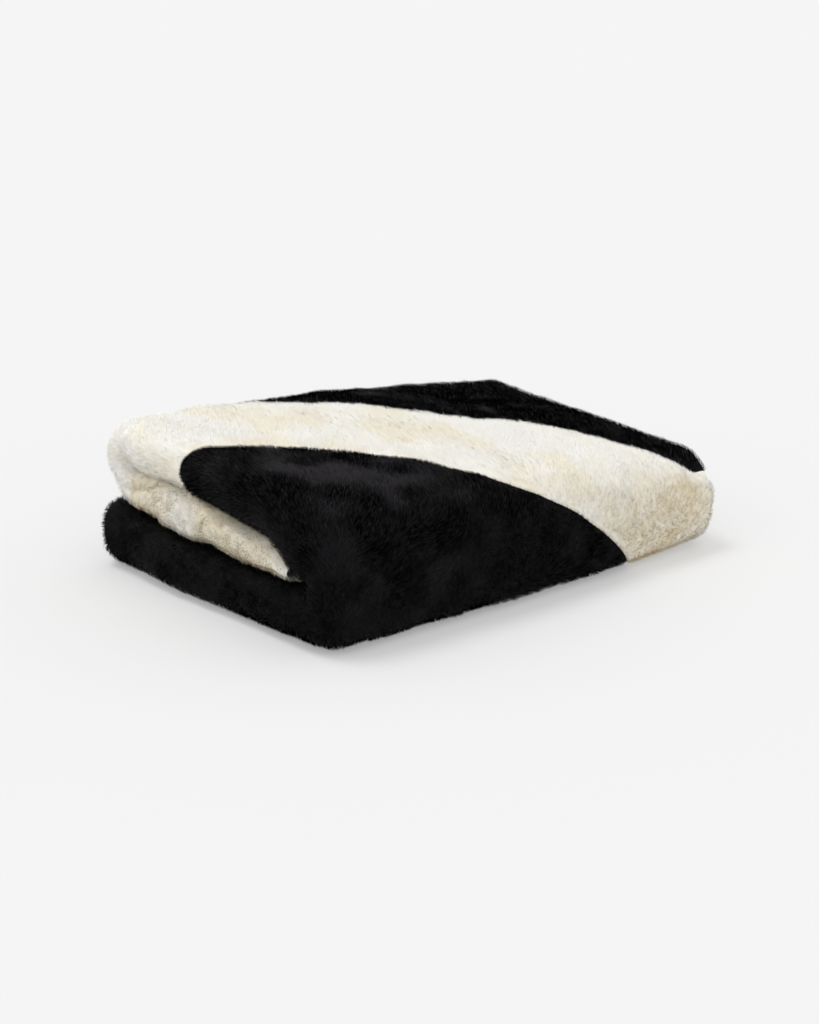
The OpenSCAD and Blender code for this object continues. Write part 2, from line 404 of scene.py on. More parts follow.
def share_out(x, y, share):
    """At the left end the flap thins to nothing towards the front, and the top hangs over it."""
    left = 1 - smooth(x, left_x + OPEN_TO, left_x + CLOSED_FROM)
    under = 1 / 3 + (np.interp(y, GAPS_DEEP, GAP_UNDER) - 1 / 3) * left
    over = 2 / 3 + (np.interp(y, GAPS_DEEP, GAP_OVER) - 2 / 3) * left
    in_bottom = share * 3 * under
    in_flap = under + (share - 1 / 3) * 3 * (over - under)
    in_top = over + (share - 2 / 3) * 3 * (1 - over)
    return np.where(share < 1 / 3, in_bottom, np.where(share < 2 / 3, in_flap, in_top))


def soften(points, level):
    """Moves the points of the plain pack (n, 3) to the soft one; level is each point's level."""
    x, y, z = points.T
    y, z = square_front(x, y, z)
    height = slope * (meet_x - x)
    share = z / height
    x = fill_left_edges(x, y, share, height, level)
    humps = eased(y, HUMPS_DEEP, [eased(x, HUMPS_ACROSS, row) for row in HUMPS])
    z = share_out(x, y, share) * height * humps
    near_left = 1 - smooth(x, left_x, left_x + LEFT_END)
    flap_share = np.where(level < 0, 0, 1 - np.clip(np.abs(level - FLAP), 0, 1))
    x = x + near_left * flap_share * FLAP_LIES_BACK
    moved = np.stack([x, y, z], axis=1)
    loose = near_left * (LOOSE_OUTSIDE + flap_share)
    for axis in range(3):
        lumps = layered(points, [(*sag, axis + kind) for kind, sag in enumerate(SAGS)])
        lumps += LOOSE_SAG * loose * noise(points, LOOSE_SIZE, axis + len(SAGS))
        if axis == 2:
            lumps = lumps * smooth(points[:, 2], FLAT_BELOW, LUMPY_ABOVE)
        moved[:, axis] += lumps
    return moved


def crease_depth(points):
    """How deep the creases of the loose end press into the cloth at (n, 3) points."""
    depth = np.zeros(len(points))
    for start, end, most in CREASES:
        a, d = np.array(start) * MM, (np.array(end) - start) * MM
        t = np.clip((points - a) @ d / (d @ d), 0, 1)
        off = np.linalg.norm(points - a - t[:, None] * d, axis=1)
        groove = np.exp(-(off / CREASE_WIDTH) ** 2)
        lip = np.exp(-((off - LIP_AWAY) / LIP_WIDTH) ** 2)
        depth += most * MM * (groove - CREASE_LIP * lip)
    return depth


# ---- Seams between the colour blocks, in cloth coordinates (x, way) ----

def curve(points, per_span=12):
    """A smooth curve through the points."""
    p = np.array(points, float) * MM
    p = np.vstack([2 * p[0] - p[1], p, 2 * p[-1] - p[-2]])
    out = []
    for a, b, c, d in zip(p, p[1:], p[2:], p[3:]):
        for step in range(per_span):
            t = step / per_span
            out.append(0.5 * (2 * b + (c - a) * t + (2 * a - 5 * b + 4 * c - d) * t ** 2
                              + (3 * b - a - 3 * c + d) * t ** 3))
    return np.array(out + [p[-2]])


near_seam = curve([(-330, 80), (-262, 52), (-252, 42), (-242, 33), (-229, 26), (-212, 23), (-196, 18),
                   (-175, 9), (-150, -8), (-115, -37), (-84, -73), (-62, -102), (-37, -142), (-9, -165),
                   (15, -180), (38, -194), (60, -210), (85, -227), (103, -242), (119, -257), (133, -274),
                   (150, -300), (200, -390), (262, -495), (330, -600)])
far_seam = curve([(330, -210), (262, -195), (231, -180), (214, -167), (200, -151), (186, -126), (174, -88),
                  (164, -59), (151, -30), (136, -8), (112, 7), (82, 18), (51, 36), (20, 64), (-8, 87),
                  (-40, 107), (-84, 131), (-115, 157), (-140, 195), (-155, 260), (-158, 310), (-155, 420),
                  (-155, 700)])
flap_seam_x = far_seam[-1, 0]

FAR_OFF = 9.0  # larger than any distance on the cloth


def beside(points, line):
    """Signed distance of (n, 2) points from a curve, positive on its left."""
    best = np.full(len(points), FAR_OFF)
    signed = np.full(len(points), FAR_OFF)
    for a, b in zip(line[:-1], line[1:]):
        d = b - a
        t = np.clip(((points - a) @ d) / (d @ d), 0, 1)
        off = points - a - t[:, None] * d
        distance = np.hypot(off[:, 0], off[:, 1])
        side = np.sign(d[0] * off[:, 1] - d[1] * off[:, 0])
        closer = distance < best
        signed = np.where(closer, np.where(side == 0, 1, side) * distance, signed)
        best = np.where(closer, distance, best)
    return signed


# ---- Making meshes ----

def unit(vectors):
    """The same directions, one long."""
    return vectors / (np.linalg.norm(vectors, axis=-1, keepdims=True) + TINY)


def grid_frames(grid):
    """Unit normals and unit directions along the rows' way, at each point of a grid."""
    down = np.gradient(grid, axis=0)
    around = np.roll(grid, -1, axis=1) - np.roll(grid, 1, axis=1)
    return unit(np.cross(down, around)), unit(down)


def ring_quads(rows, columns):
    """Faces of a grid that closes round its columns."""
    index = np.arange(rows - 1)[:, None] * columns
    here = np.arange(columns)
    following = (here + 1) % columns
    return np.stack([index + here, index + columns + here, index + columns + following,
                     index + following], axis=2).reshape(-1, 4)


def mesh_object(name, points, faces, normals=None, materials=(), slots=None, rest=None):
    """A smooth mesh; faces is a list of index arrays (k, 3) or (k, 4), or a list of polygons."""
    mesh = bpy.data.meshes.new(name)
    if isinstance(faces[0], np.ndarray):
        loops = np.concatenate([f.ravel() for f in faces])
        sizes = np.concatenate([np.full(len(f), f.shape[1]) for f in faces])
    else:
        loops = np.array([i for f in faces for i in f])
        sizes = np.array([len(f) for f in faces])
    mesh.vertices.add(len(points))
    mesh.vertices.foreach_set("co", np.asarray(points, np.float32).ravel())
    mesh.loops.add(len(loops))
    mesh.loops.foreach_set("vertex_index", loops.astype(np.int32))
    mesh.polygons.add(len(sizes))
    starts = np.concatenate([[0], np.cumsum(sizes)[:-1]])
    mesh.polygons.foreach_set("loop_start", starts.astype(np.int32))
    mesh.update(calc_edges=True)
    mesh.polygons.foreach_set("use_smooth", np.ones(len(sizes), bool))
    for material in materials:
        mesh.materials.append(material)
    if slots is not None:
        mesh.polygons.foreach_set("material_index", slots.astype(np.int32))
    if rest is not None:
        place = mesh.attributes.new("cloth_place", "FLOAT_VECTOR", "POINT")
        place.data.foreach_set("vector", np.asarray(rest, np.float32).ravel())
    mesh.validate()
    if normals is not None:
        mesh.normals_split_custom_set_from_vertices([tuple(n) for n in np.asarray(normals, float)])
    piece = bpy.data.objects.new(name, mesh)
    bpy.context.scene.collection.objects.link(piece)
    return piece


# ---- Materials ----

COLD = (0.80, 0.74, 0.84)  # tints of the sheen
WARM = (1.0, 0.97, 0.91)
SHEEN_ROUGHNESS, SPECULAR = 0.45, 0.25
TONES_AT = (0.35, 0.72)  # strength of the patches where the two tones of a ground are pure
RELIEF, RELIEF_DEPTH = 0.5, 0.6 * MM


def new_material(name, colour, roughness, sheen, sheen_tint, specular=SPECULAR):
    """A cloth material and its shader node."""
    material = bpy.data.materials.new(name)
    material.use_nodes = True
    shader = material.node_tree.nodes["Principled BSDF"]
    shader.inputs["Base Color"].default_value = (*colour, 1)
    shader.inputs["Roughness"].default_value = roughness
    shader.inputs["Specular IOR Level"].default_value = specular
    shader.inputs["Sheen Weight"].default_value = sheen
    shader.inputs["Sheen Roughness"].default_value = SHEEN_ROUGHNESS
    shader.inputs["Sheen Tint"].default_value = (*sheen_tint, 1)
    return material, shader


def noise_node(nodes, scale, detail, distortion=0.0):
    """A noise texture node."""
    node = nodes.new("ShaderNodeTexNoise")
    node.inputs["Scale"].default_value = scale
    node.inputs["Detail"].default_value = detail
    node.inputs["Distortion"].default_value = distortion
    return node


def fur_ground(name, tones, roughness, sheen, sheen_tint):
    """The ground of the fur: two tones mixed over patches of brushed pile, with a fine fibre relief; on the
    black ground the lighter tone is painted sheen.
    """
    material, shader = new_material(name, tones[0], roughness, sheen, sheen_tint)
    nodes, links = material.node_tree.nodes, material.node_tree.links
    place = nodes.new("ShaderNodeAttribute")
    place.attribute_name = "cloth_place"
    patch = noise_node(nodes, scale=22, detail=4, distortion=0.8)
    fibre = noise_node(nodes, scale=700, detail=3)
    ramp = nodes.new("ShaderNodeValToRGB")
    for element, position, tone in zip(ramp.color_ramp.elements, TONES_AT, tones):
        element.position = position
        element.color = (*tone, 1)
    relief = nodes.new("ShaderNodeBump")
    relief.inputs["Strength"].default_value = RELIEF
    relief.inputs["Distance"].default_value = RELIEF_DEPTH
    links.new(place.outputs["Vector"], patch.inputs["Vector"])
    links.new(place.outputs["Vector"], fibre.inputs["Vector"])
    links.new(patch.outputs["Fac"], ramp.inputs["Fac"])
    links.new(ramp.outputs["Color"], shader.inputs["Base Color"])
    links.new(fibre.outputs["Fac"], relief.inputs["Height"])
    links.new(relief.outputs["Normal"], shader.inputs["Normal"])
    return material


def pile_tones(name, tint, tones):
    """Materials of one colour of pile; a tone is its name, colour, roughness, sheen and specular."""
    return [new_material(f"{name}_pile_{tone}", colour, roughness, sheen, tint, specular)[0]
            for tone, colour, roughness, sheen, specular in tones]


# The black ground's lighter tone, in patches, is painted sheen of brushed pile; the cream ground's two
# tones differ at random.
black_ground = fur_ground("black_fur_ground", [(0.0012, 0.0012, 0.0013), (0.003, 0.0029, 0.0032)],
                          roughness=0.9, sheen=0.0, sheen_tint=COLD)
cream_ground = fur_ground("cream_fur_ground", [(0.95, 0.925, 0.86), (0.93, 0.86, 0.68)],
                          roughness=0.85, sheen=0.1, sheen_tint=WARM)
# The black pile's mid and glint tones are lighter colours that paint its sheen; glint is also a little
# glossier.
black_tones = pile_tones("black", COLD, [("deep", (0.0013, 0.0013, 0.0014), 0.8, 0.0, 0.0),
                                         ("mid", (0.0036, 0.0034, 0.0039), 0.7, 0.01, 0.02),
                                         ("glint", (0.016, 0.014, 0.0165), 0.6, 0.06, 0.05)])
# Cream pile tones: mid and beige are also the painted shade of the flap, the low front and the shade spots.
cream_tones = pile_tones("cream", WARM, [("light", (0.945, 0.935, 0.895), 0.8, 0.12, SPECULAR),
                                         ("mid", (0.93, 0.885, 0.77), 0.8, 0.12, SPECULAR),
                                         ("beige", (0.81, 0.71, 0.50), 0.8, 0.06, SPECULAR)])
seam_cloth = fur_ground("seam_allowance", [(0.10, 0.09, 0.08), (0.20, 0.18, 0.16)],
                        roughness=0.9, sheen=0.0, sheen_tint=WARM)
backing_cloth = fur_ground("backing_cloth", [(0.02, 0.02, 0.021), (0.05, 0.048, 0.05)],
                           roughness=0.9, sheen=0.1, sheen_tint=WARM)

BLACK_FIELD, CREAM, BLACK_CORNER = "black_field", "cream_stripe", "black_corner"
COLOURS = (BLACK_FIELD, CREAM, BLACK_CORNER)
GROUNDS = {BLACK_FIELD: black_ground, CREAM: cream_ground, BLACK_CORNER: black_ground}

# ---- The wrap, softened ----

TUFTS = [(0.9, 17, 0), (0.6, 8, 1)]  # waves of the fur's face, in mm
GROOVE = 1.3  # depth of the groove along a seam, in mm
GROOVE_WIDTH = 2.4 * MM
LOWEST = PILE_ROOM * 0.5  # the skin stays this high over the floor

plain, cloth, row_level = wrap(PILE_ROOM)
row_total, column_total = plain.shape[:2]
flat_plain = plain.reshape(-1, 3)
level_of = np.repeat(row_level, column_total)
near_side = beside(cloth.reshape(-1, 2), near_seam)
far_side = beside(cloth.reshape(-1, 2), far_seam)


def above_floor(grid):
    """Lifts what would reach down to the floor."""
    grid[..., 2] = np.maximum(grid[..., 2], LOWEST)
    return grid


def soft_face():
    """The fur's own face: the soft pack with tufts, creases and the seams' grooves."""
    points = soften(flat_plain, level_of)
    normals = grid_frames(points.reshape(plain.shape))[0]
    to_seam = np.minimum(np.abs(near_side), np.abs(far_side))
    seam_dip = np.exp(-(to_seam / GROOVE_WIDTH) ** 2)
    lift = (layered(flat_plain, TUFTS) - GROOVE * seam_dip) * MM - crease_depth(points)
    return above_floor(points.reshape(plain.shape) + normals * lift.reshape(row_total, column_total, 1))


soft = soft_face()
normal, along = grid_frames(soft)

# ---- Following the bodies ----


def join_body(piece, part):
    """Places a piece for its body: the bottom's and the top's stay fixed in the world, the front's follow
    the front fold, and the back's and the flap's follow the top.
    """
    if part == "bottom":
        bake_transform(piece)
    elif part == "top":
        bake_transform(piece)
    else:
        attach(piece, "front_fold" if part == "front" else "top")


def stand_for(node):
    """Hides the CAD node that the piece stands for, if there is one."""
    if node in frame["nodes"]:
        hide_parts(node)


# ---- Cutting the wrap into its colour blocks ----

def cut(polygons, values, points):
    """Cuts polygons where values change sign. Returns those above and below, and the cut's segments."""
    above, below, segments, made = [], [], [], {}
    for polygon in polygons:
        signs = [values[i] > 0 for i in polygon]
        if all(signs):
            above.append(polygon)
            continue
        if not any(signs):
            below.append(polygon)
            continue
        up, down, crossing = [], [], []
        for a, b in zip(polygon, polygon[1:] + polygon[:1]):
            (up if values[a] > 0 else down).append(a)
            if (values[a] > 0) != (values[b] > 0):
                key = (min(a, b), max(a, b))
                if key not in made:
                    share = values[a] / (values[a] - values[b])
                    made[key] = len(points)
                    points.append([(1 - share) * p + share * q for p, q in zip(points[a], points[b])])
                    values.append(0.0)
                up.append(made[key])
                down.append(made[key])
                crossing.append(made[key])
        above.append(up)
        below.append(down)
        segments.append(crossing)
    return above, below, segments


RIDGE_HALF = 1.1 * MM  # half the width of the joined seam allowances
RIDGE_FOOT = 1.6 * MM  # their foot and their ridge lie this far under the fur's face
RIDGE_TOP = 0.4 * MM
SHORT = 0.05 * MM  # a cut shorter than this has no ridge


def seam_ridge(name, segments, points, part):
    """The joined seam allowances: a narrow ridge of cloth at the bottom of the groove."""
    out, faces = [], []
    for i, j in (segment for segment in segments if len(segment) == 2):
        a, b, outward = points[i, :3], points[j, :3], points[i, 3:6]
        if np.linalg.norm(b - a) < SHORT:
            continue
        side = RIDGE_HALF * unit(np.cross(outward, b - a))
        low, high = -RIDGE_FOOT * outward, -RIDGE_TOP * outward
        k = len(out)
        out += [a - side + low, a + high, a + side + low, b - side + low, b + high, b + side + low]
        faces += [[k, k + 1, k + 4, k + 3], [k + 1, k + 2, k + 5, k + 4]]
    if not faces:
        return
    piece = mesh_object(f"{name}_ridge", out, faces, materials=[seam_cloth], rest=out)
    join_body(piece, part)
    stand_for(name)


# What is known of each point of the wrap: place, normal, plain place, length round it, way along it.
girth_steps = np.linalg.norm(np.diff(outline(PILE_ROOM)[0], axis=0), axis=1)
round_it = np.concatenate([[0], np.cumsum(girth_steps)])
girth = np.broadcast_to(round_it[:, None], (row_total, column_total, 1))
point_data = np.concatenate([soft, normal, plain, girth, cloth[..., 1:]], axis=2)
PLAIN_PLACE, CLOTH_PLACE = slice(6, 9), slice(9, 11)

made_pieces = {}  # by the node each stands for
sheets = []  # pieces of cloth, with their plain places and their places on the cloth


def add_skin(name, colour, part, faces, data):
    """One colour block of one part of the wrap; data has a row for each point of the part."""
    keep = np.unique(np.concatenate([np.array(f) for f in faces]))
    number = np.full(len(data), -1)
    number[keep] = np.arange(len(keep))
    kept = data[keep]
    piece = mesh_object(f"{name}_skin", kept[:, :3], [[int(number[i]) for i in f] for f in faces],
                        normals=kept[:, 3:6], rest=kept[:, PLAIN_PLACE], materials=[GROUNDS[colour]])
    join_body(piece, part)
    stand_for(name)
    made_pieces[name] = piece
    sheets.append((name, kept[:, PLAIN_PLACE], kept[:, CLOTH_PLACE]))


def add_part(part):
    """The skins of one part of the wrap, cut along the seams, and the seams' ridges."""
    first_row, last_row = part_rows[part]
    quads = ring_quads(last_row - first_row + 1, column_total) + first_row * column_total
    used, local = np.unique(quads, return_inverse=True)
    polygons = [list(map(int, quad)) for quad in local.reshape(-1, 4)]
    points = [list(p) for p in point_data.reshape(-1, point_data.shape[2])[used]]
    far_values = list(far_side[used]) if part in FAR_PARTS else [FAR_OFF] * len(used)
    cream_side, field, near_cut = cut(polygons, list(near_side[used]), points)
    far_values += [FAR_OFF] * (len(points) - len(far_values))
    cream, corner, far_cut = cut(cream_side, far_values, points)
    data = np.array(points)
    for colour, faces in zip(COLOURS, (field, cream, corner)):
        if faces:
            add_skin(f"{colour}_{part}", colour, part, faces, data)
    seam_ridge(f"near_seam_{part}", near_cut, data, part)
    seam_ridge(f"far_seam_{part}", far_cut, data, part)


for part in PARTS:
    add_part(part)

# ---- Inner plies: the folded layers inside every level ----

EVERY = 3  # the plies are plain, so they need fewer points
inner_plain = wrap(PLIES_ROOM)[0]
inner = soften(inner_plain.reshape(-1, 3), level_of).reshape(inner_plain.shape)
inner_normal = grid_frames(inner)[0]


def add_inner_plies(part):
    """The plies inside one part of the wrap, as one closed wrap under the fur."""
    name = f"inner_plies_{part}"
    first_row, last_row = part_rows[part]
    rows = np.unique(np.append(np.arange(first_row, last_row, EVERY), last_row))
    chosen = np.ix_(rows, np.arange(0, column_total, EVERY))
    points = inner[chosen].reshape(-1, 3)
    quads = ring_quads(*inner[chosen].shape[:2])
    piece = mesh_object(f"{name}_cloth", points, [quads], materials=[backing_cloth],
                        normals=inner_normal[chosen].reshape(-1, 3), rest=points)
    join_body(piece, part)
    stand_for(name)
    made_pieces[name] = piece
    places = point_data[..., CLOTH_PLACE][chosen].reshape(-1, 2)
    sheets.append((name, inner_plain[chosen].reshape(-1, 3), places))


for part in PARTS:
    add_inner_plies(part)

# ---- Hems: the three plies' turned edges at a free end, one rolled edge that turns back twice ----

HEM_RING = 24  # points round the roll
HEM_TURN = 9  # points round each end where it turns back
HEM_SHORT = 5  # the roll closes over this many points at its own two ends
HEM_CLOSED = 0.003  # and stays this much open, so that it has no zero-size faces
HEM_GAP = 0.4 * MM  # between the roll and the next ply's
HEM_LUMPS = [(0.8, 14, 0)]
HEM_STEP = 1.3 * STEP
HEM_IN_LEFT, HEM_IN_RIGHT = 5 * PILE_ROOM, 2 * PILE_ROOM  # how far a hem stops inside the level's ends


def hem_path(level, end_y, faces_back):
    """The middle line of a rolled edge, and how thick the roll is along it."""
    ply = level_lean / LEVELS
    far_reach = far_tip - HEM_IN_LEFT - far_tip * math.sin(ply)
    near_reach = near_tip + HEM_IN_RIGHT + near_tip * math.sin(ply)
    run_steps = round((far_reach - near_reach) / HEM_STEP)
    turns = np.linspace(0, math.pi, HEM_TURN)[1:-1]
    reach, angle = [], []
    for number in range(LEVELS):
        way = 1 if number % 2 == 0 else -1
        ends = (near_reach, far_reach)[::way]
        reach.append(np.linspace(*ends, run_steps))
        angle.append(np.full(run_steps, ply * (number + 0.5)))
        if number < LEVELS - 1:
            reach.append(ends[1] + way * ends[1] * math.sin(ply) / 2 * np.sin(turns))
            angle.append(ply * (number + 1) - ply / 2 * np.cos(turns))
    reach, angle = np.concatenate(reach), np.concatenate(angle) + level * level_lean
    deep = np.full(len(reach), end_y - faces_back * HEM_ROOM)
    path = np.stack([meet_x - reach * np.cos(angle), deep, reach * np.sin(angle)], axis=1)
    return path, reach * math.sin(ply) / 2 - HEM_GAP


def hem_roll(level, end_y, faces_back):
    """A grid round the rolled edge of a level's free end; faces_back is 1 or -1."""
    path, thick = hem_path(level, end_y, faces_back)
    side = np.cross(unit(np.gradient(path, axis=0)), (0, 1, 0))
    closing = np.ones(len(path))
    share = np.arange(HEM_SHORT) / HEM_SHORT
    closing[:HEM_SHORT] = np.sqrt(np.clip(1 - (1 - share) ** 2, HEM_CLOSED, 1))
    closing[-HEM_SHORT:] = closing[:HEM_SHORT][::-1]
    ring = np.linspace(0, 2 * math.pi, HEM_RING, endpoint=False)
    deep = (HEM_ROOM - PILE_ROOM) * closing[:, None] * np.cos(ring)
    high = -(thick * closing)[:, None] * np.sin(ring)
    return path[:, None] + deep[..., None] * np.array([0, 1, 0]) + high[..., None] * side[:, None]


def cream_hem(colour, x):
    """1 where a hem is cream: the flap's is cream only on the stripe's side of the far seam."""
    return ((x < flap_seam_x) & (colour == CREAM)).astype(int)


def add_hem(name, grid, level, part, colour):
    """A rolled hem; returns its face, normals and way for the pile."""
    shaped = soften(grid.reshape(-1, 3), np.full(grid.size // 3, level)).reshape(grid.shape)
    normals, way = grid_frames(shaped)
    lumps = layered(grid.reshape(-1, 3), HEM_LUMPS) * MM
    shaped = above_floor(shaped + normals * lumps.reshape(*grid.shape[:2], 1))
    piece = mesh_object(f"{name}_roll", shaped.reshape(-1, 3), [ring_quads(*grid.shape[:2])],
                        normals=normals.reshape(-1, 3), rest=grid.reshape(-1, 3),
                        materials=[black_ground, cream_ground],
                        slots=cream_hem(colour, grid[:-1, :, 0].ravel()))
    join_body(piece, part)
    stand_for(name)
    return name, part, colour, shaped, normals, way


hems = [add_hem("hem_bottom", hem_roll(BOTTOM, back_y, 1), BOTTOM, "bottom", BLACK_FIELD),
        add_hem("hem_flap", hem_roll(FLAP, flap_front_y, -1), FLAP, "flap", CREAM)]

# ---- Pile ----

SHOWN, OPENED, HIDDEN = 60e4, 12e4, 6e4  # blades to each square metre
FACES_OUT = 0.5  # a level's faces with less than this upwards are its outer ones
TIP = 26 * MM  # the levels' left and right ends are in sight this deep
LOOSE_END = 60 * MM  # and the flap's hem this far in from the left
PILE_LENGTH, HEM_LENGTH = (5.6, 0.9), (4.5, 0.8)  # mean and spread, mm
PILE_WIDTH, HEM_WIDTH = (0.3, 0.5), (0.35, 0.55)  # least and most, mm
SHORT_AT_SEAM, SEAM_REACH = 0.45, 8 * MM  # blades are this share of their length on a seam
LAY_TURNS = [(1.4, 70, 2), (0.7, 28, 3)]  # how brushed patches turn the pile, in radians
RISE, BEND, SPLAY, TWIST = (0.72, 0.14), (0.34, 0.14), (0, 0.28), (0, 0.5)  # mean and spread, radians
ROUGH = 0.22  # how unevenly the blades take the light
ROOTED = 0.4 * MM  # how deep a blade's root is in the fur's face
NARROWER = 0.9  # width of a blade's middle, as a share of its root

# Where the cream pile has painted shade, beige and darker, low on the front's right and in the creases of
# the loose left end: middle and radius in mm, and strength.
PAINTED_SHADE_SPOTS = [((112, -182, 66), 30, 1.2), ((190, -184, 48), 32, 1.9), ((150, -184, 30), 50, 0.5),
               ((-243, 18, 80), 26, 0.5), ((-241, 84, 89), 22, 0.6)]
PATCHES = [(1, 45, 1), (0.5, 18, 2)]  # of warmer cream pile
SHEEN_BLOTCHES = [(0.75, 24, 0), (0.6, 60, 3)]  # blotches of painted sheen on the black pile
CREAM_MIXED, BLACK_MIXED = 0.2, 0.16  # how much single blades differ from their patch
# Painted shade of the cream pile, added as extra warmth: over the whole flap and on the low front.
FLAP_SHADE, LOW_FRONT_SHADE = 0.8, 0.9
LOW_TOP, LOW = 105 * MM, 35 * MM  # heights between which painted shade makes the front warmer and darker downwards
LOW_SHADE_FROM, LOW_SHADE_TO = 20 * MM, 110 * MM  # and places between which that painted shade grows to the right
MID_CREAM, BEIGE = 0.3, 1.25  # warmth and painted shade from which a blade takes these tones
# Painted sheen of the black pile: its overall strength, its strength in blotches, and how much it fades to
# the right, between these places.
SHINE, BLOTCHY, DULLER_RIGHT = 0.28, 1.5, 0.95
SHINY_TO, DULL_FROM = -170 * MM, 60 * MM
MID_BLACK, GLINT = 0.1, 0.75  # painted sheen from which a blade takes these lighter tones


def drawn(mean_and_spread, total):
    """Random values in a column, one for each blade."""
    return rng.normal(*mean_and_spread, total)[:, None]


def add_blades(name, roots, normals, lays, lengths, tones, tone_index, widths, part):
    """Pile: thin bent blades that lie over each other. One quad and one triangle each."""
    total = len(roots)
    rise = drawn(RISE, total)
    lay = unit(lays - (lays * normals).sum(1, keepdims=True) * normals)
    splay = drawn(SPLAY, total)
    lay = lay * np.cos(splay) + np.cross(normals, lay) * np.sin(splay)
    bend = drawn(BEND, total)
    half = (lengths * 0.5)[:, None]
    middle = roots + half * (lay * np.cos(rise) + normals * np.sin(rise))
    tip = middle + half * (lay * np.cos(bend) + normals * np.sin(bend))
    twist = drawn(TWIST, total)
    flat = -(np.cross(normals, lay) * np.cos(twist) + normals * np.sin(twist)) * (widths / 2)[:, None]
    roots = roots - ROOTED * normals
    points = np.stack([roots - flat, roots + flat, middle + flat * NARROWER, middle - flat * NARROWER,
                       tip], axis=1)
    corners = points.shape[1]
    first = np.arange(total)[:, None] * corners
    quads, tips = first + np.array([0, 1, 2, 3]), first + np.array([3, 2, 4])
    lit = unit(normals + ROUGH * rng.normal(0, 1, (total, 3)))
    piece = mesh_object(name, points.reshape(-1, 3), [quads, tips], normals=np.repeat(lit, corners, axis=0),
                        materials=tones, slots=np.concatenate([tone_index, tone_index]))
    join_body(piece, part)
    made_pieces[name] = piece
    return piece


def scatter(grid, density):
    """Random places on a closed grid: their cells' rows and columns, and the shares across those."""
    down, around = grid[1:] - grid[:-1], np.roll(grid, -1, axis=1)[:-1] - grid[:-1]
    in_cell = rng.poisson(np.linalg.norm(np.cross(down, around), axis=2) * density)
    row, column = np.divmod(np.repeat(np.arange(in_cell.size), in_cell.ravel()), grid.shape[1])
    return row, column, *rng.uniform(0, 1, (2, len(row)))


def at_places(grid, row, column, down, around):
    """Values of a closed grid at scattered places."""
    after = (column + 1) % grid.shape[1]
    if grid.ndim == 3:
        down, around = down[:, None], around[:, None]
    here = grid[row, column] * (1 - down) + grid[row + 1, column] * down
    there = grid[row, after] * (1 - down) + grid[row + 1, after] * down
    return here * (1 - around) + there * around


part_of_row = np.concatenate([[part] * (last - first) for part, (first, last) in part_rows.items()])


def pile_density():
    """Blades to each square metre for every cell: fewer inside the folds and underneath."""
    x = cloth[..., 0]
    middle = (x[:-1] + x[1:] + np.roll(x, -1, axis=1)[:-1] + np.roll(x, -1, axis=1)[1:]) / 4
    tips = np.abs(middle) > right_x - TIP
    outward = outline(0)[1][:, 1] < FACES_OUT
    density = np.full(middle.shape, OPENED)
    for row, part in enumerate(part_of_row):
        if part in ("front", "top", "back") or (part == "bottom" and row >= bottom_rows):
            density[row] = np.where(outward, SHOWN, OPENED)
        else:
            density[row] = np.where(outward == (part == "flap"), OPENED, HIDDEN)
        density[row] = np.where(tips[row], SHOWN, density[row])
    return density


def black_tone(rest, scatter_off):
    """Tone of each black blade: painted sheen makes it lighter in blotches and towards the left; its
    lighter tones are also a little glossier.
    """
    sheen_blotch = layered(rest, SHEEN_BLOTCHES) + scatter_off
    painted_sheen = BLOTCHY * sheen_blotch + SHINE - DULLER_RIGHT * smooth(rest[:, 0], SHINY_TO, DULL_FROM)
    return np.where(painted_sheen > GLINT, 2, np.where(painted_sheen > MID_BLACK, 1, 0))


def cream_tone(rest, part, scatter_off):
    """Tone of each cream blade: warmer in random patches, and with painted shade, warmer and darker, in the
    flap, low on the front and in the shade spots.
    """
    warmth_and_shade = layered(rest, PATCHES) + scatter_off
    for middle, radius, strength in PAINTED_SHADE_SPOTS:
        off = np.linalg.norm((rest - np.array(middle) * MM) / (radius * MM), axis=1)
        warmth_and_shade = warmth_and_shade + strength * np.exp(-off ** 2)
    low_front_shade = smooth(-rest[:, 2], -LOW_TOP, -LOW) * smooth(rest[:, 0], LOW_SHADE_FROM, LOW_SHADE_TO)
    warmth_and_shade = warmth_and_shade + np.where(part == "flap", FLAP_SHADE, 0) + LOW_FRONT_SHADE * low_front_shade
    return np.where(warmth_and_shade > BEIGE, 2, np.where(warmth_and_shade > MID_CREAM, 1, 0))


def add_pile():
    """The pile of every skin."""
    places = scatter(soft, pile_density())
    roots = at_places(soft, *places)
    normals = unit(at_places(normal, *places))
    ways = at_places(along, *places)
    rest = at_places(plain, *places)
    near = at_places(near_side.reshape(row_total, column_total), *places)
    far = at_places(far_side.reshape(row_total, column_total), *places)
    turn = layered(rest, LAY_TURNS)[:, None]
    lay = ways * np.cos(turn) + np.cross(normals, ways) * np.sin(turn)
    to_seam = np.minimum(np.abs(near), np.abs(far))
    shortened = SHORT_AT_SEAM + (1 - SHORT_AT_SEAM) * smooth(to_seam, 0, SEAM_REACH)
    lengths = rng.normal(*PILE_LENGTH, len(roots)) * MM * shortened
    widths = rng.uniform(*PILE_WIDTH, len(roots)) * MM
    part_of = part_of_row[places[0]]
    cream = cream_tone(rest, part_of, rng.normal(0, CREAM_MIXED, len(roots)))
    black = black_tone(rest, rng.normal(0, BLACK_MIXED, len(roots)))
    block = np.where(near <= 0, 0, np.where(far <= 0, 2, 1))
    for part in PARTS:
        for key, colour in enumerate(COLOURS):
            name = f"{colour}_{part}"
            chosen = (part_of == part) & (block == key)
            if name not in made_pieces or not chosen.any():
                continue
            tones, tone = (cream_tones, cream) if colour == CREAM else (black_tones, black)
            pile = add_blades(f"{name}_pile", roots[chosen], normals[chosen], lay[chosen], lengths[chosen],
                              tones, tone[chosen], widths[chosen], part)


